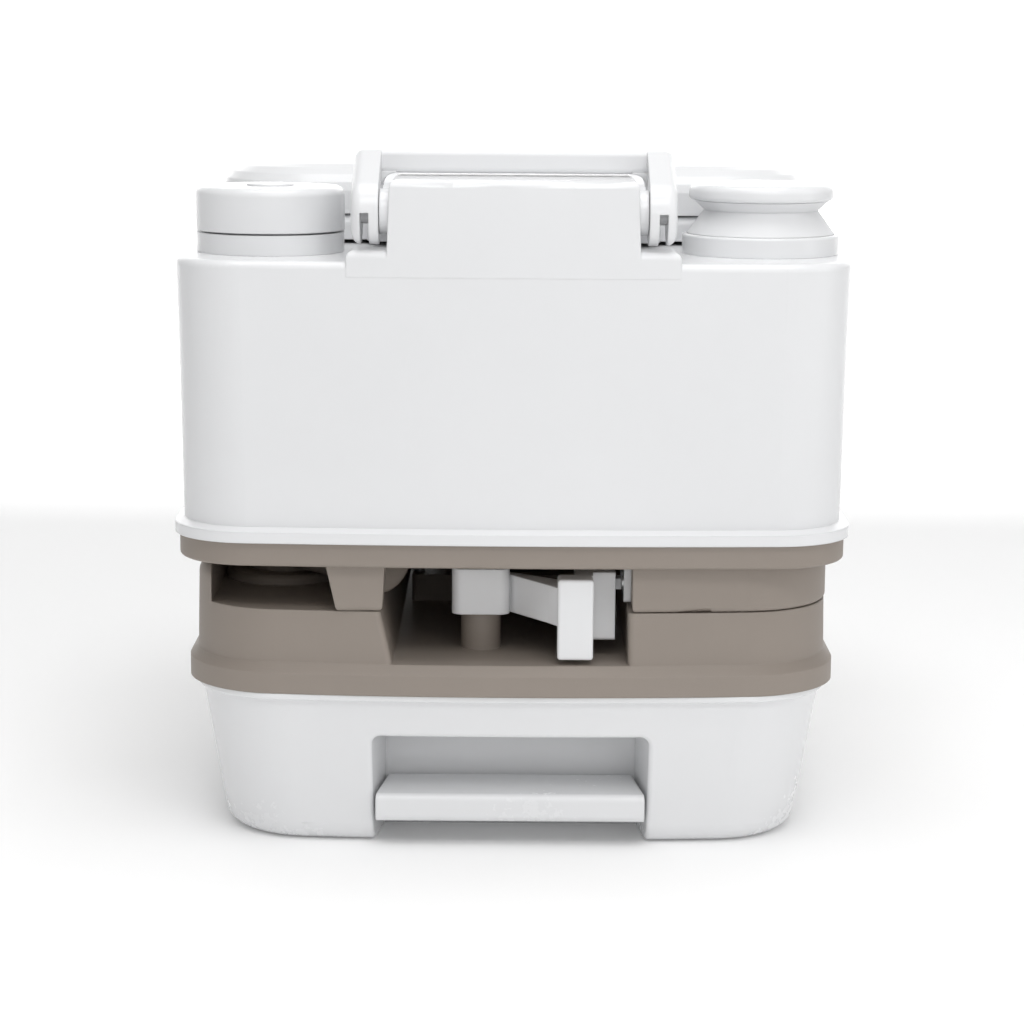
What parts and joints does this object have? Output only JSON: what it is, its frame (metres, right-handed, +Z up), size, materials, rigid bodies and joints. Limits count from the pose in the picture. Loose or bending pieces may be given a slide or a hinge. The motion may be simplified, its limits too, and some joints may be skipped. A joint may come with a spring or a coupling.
{
  "type": "portable toilet",
  "caption": "Portable toilet with a white flush tank latched on a taupe and white waste tank, folding carry handle, bellows pump, swivel spout and slide valve.",
  "frame": {"origin": "floor level, midway between the sides and between the front and the rear of the flush tank's lip", "axes": "+X to the pump's side, which is right as seen from behind; +Y from the carry handle at the rear to the sitter's front; +Z up"},
  "size_m": [0.371, 0.4148, 0.3785],
  "materials": {
    "white_plastic": "gloss",
    "taupe_plastic": "matte",
    "black_rubber": "matte",
    "white_rubber": "satin",
    "steel": "satin"
  },
  "bodies": {
    "waste_tank": {"waste_tank_body": "white_plastic", "waste_tank_cover": "taupe_plastic", "tank_handle_pins": "white_plastic", "valve_frame": "taupe_plastic", "valve_screws": "steel", "valve_seal": "black_rubber", "blade_seal": "black_rubber", "spout_collar": "taupe_plastic", "spout_seal": "black_rubber", "latch_pivot_pin": "steel", "latch_spring": "steel"},
    "tank_grip": {"waste_tank_handle": "white_plastic"},
    "valve_slide": {"valve_blade": "white_plastic", "valve_pull": "white_plastic"},
    "latch": {"latch_lever": "white_plastic"},
    "spout": {"pour_spout": "taupe_plastic"},
    "spout_cap": {"spout_cap": "taupe_plastic", "spout_cap_gasket": "black_rubber"},
    "flush_tank": {"base_pan": "taupe_plastic", "flush_tank_shell": "white_plastic", "filler_neck": "white_plastic", "latch_keeper": "white_plastic", "keeper_screws": "steel", "handle_pivot_pins": "white_plastic", "pump_collar": "white_plastic", "pump_base": "white_plastic", "pump_valves": "black_rubber", "pump_bellows": "white_rubber", "pump_spring": "steel", "suction_tube": "white_plastic", "flush_hose": "white_rubber", "flush_nozzle": "white_plastic", "bowl": "white_plastic", "bowl_gasket": "black_rubber", "hinge_brackets": "white_plastic", "hinge_pins": "white_plastic"},
    "carry_handle": {"carry_handle": "white_plastic"},
    "fill_cap": {"fill_cap": "white_plastic", "fill_cap_gasket": "black_rubber"},
    "pump_head": {"pump_head": "white_plastic"},
    "seat": {"seat": "white_plastic", "seat_buffers": "white_rubber"},
    "lid": {"lid": "white_plastic"}
  },
  "joints": [
    {"name": "tank_grip_swing", "type": "hinge", "parent": "waste_tank", "child": "tank_grip", "pos_m": [0, -0.157, 0.02125], "axis": [-1, 0, 0], "range_deg": [0, 15]},
    {"name": "valve_open", "type": "slide", "parent": "waste_tank", "child": "valve_slide", "axis": [0, 1, 0], "range_m": [0, 0.094]},
    {"name": "latch_swing", "type": "hinge", "parent": "waste_tank", "child": "latch", "pos_m": [-0.017, -0.15, 0.137], "axis": [0, 0, -1], "range_deg": [0, 12], "stiffness_Nm_per_rad": 0.5},
    {"name": "spout_swivel", "type": "hinge", "parent": "waste_tank", "child": "spout", "pos_m": [-0.131, -0.095, 0.155], "axis": [0, 0, 1], "range_deg": [0, 130]},
    {"name": "spout_cap_turn", "type": "hinge", "parent": "spout", "child": "spout_cap", "pos_m": [-0.07682, -0.15111, 0.155], "axis": [0.6947, -0.7193, 0], "range_deg": [0, 360]},
    {"name": "flush_tank_lift", "type": "slide", "parent": "waste_tank", "child": "flush_tank", "axis": [0, 0, 1], "range_m": [0, 0.08]},
    {"name": "carry_handle_fold", "type": "hinge", "parent": "flush_tank", "child": "carry_handle", "pos_m": [0, -0.189, 0.347], "axis": [1, 0, 0], "range_deg": [0, 75]},
    {"name": "fill_cap_turn", "type": "hinge", "parent": "flush_tank", "child": "fill_cap", "pos_m": [-0.1345, -0.129, 0.345], "axis": [0, 0, 1], "range_deg": [0, 270]},
    {"name": "pump_push", "type": "slide", "parent": "flush_tank", "child": "pump_head", "axis": [0, 0, -1], "range_m": [0, 0.012], "stiffness_N_per_m": 150, "deforming": ["pump_bellows", "pump_spring"]},
    {"name": "seat_lift", "type": "hinge", "parent": "flush_tank", "child": "seat", "pos_m": [0, -0.1, 0.33765], "axis": [1, 0, 0], "range_deg": [0, 90]},
    {"name": "lid_open", "type": "hinge", "parent": "seat", "child": "lid", "pos_m": [0, -0.1, 0.33765], "axis": [-1, 0, 0], "range_deg": [-90, 0]}
  ]
}
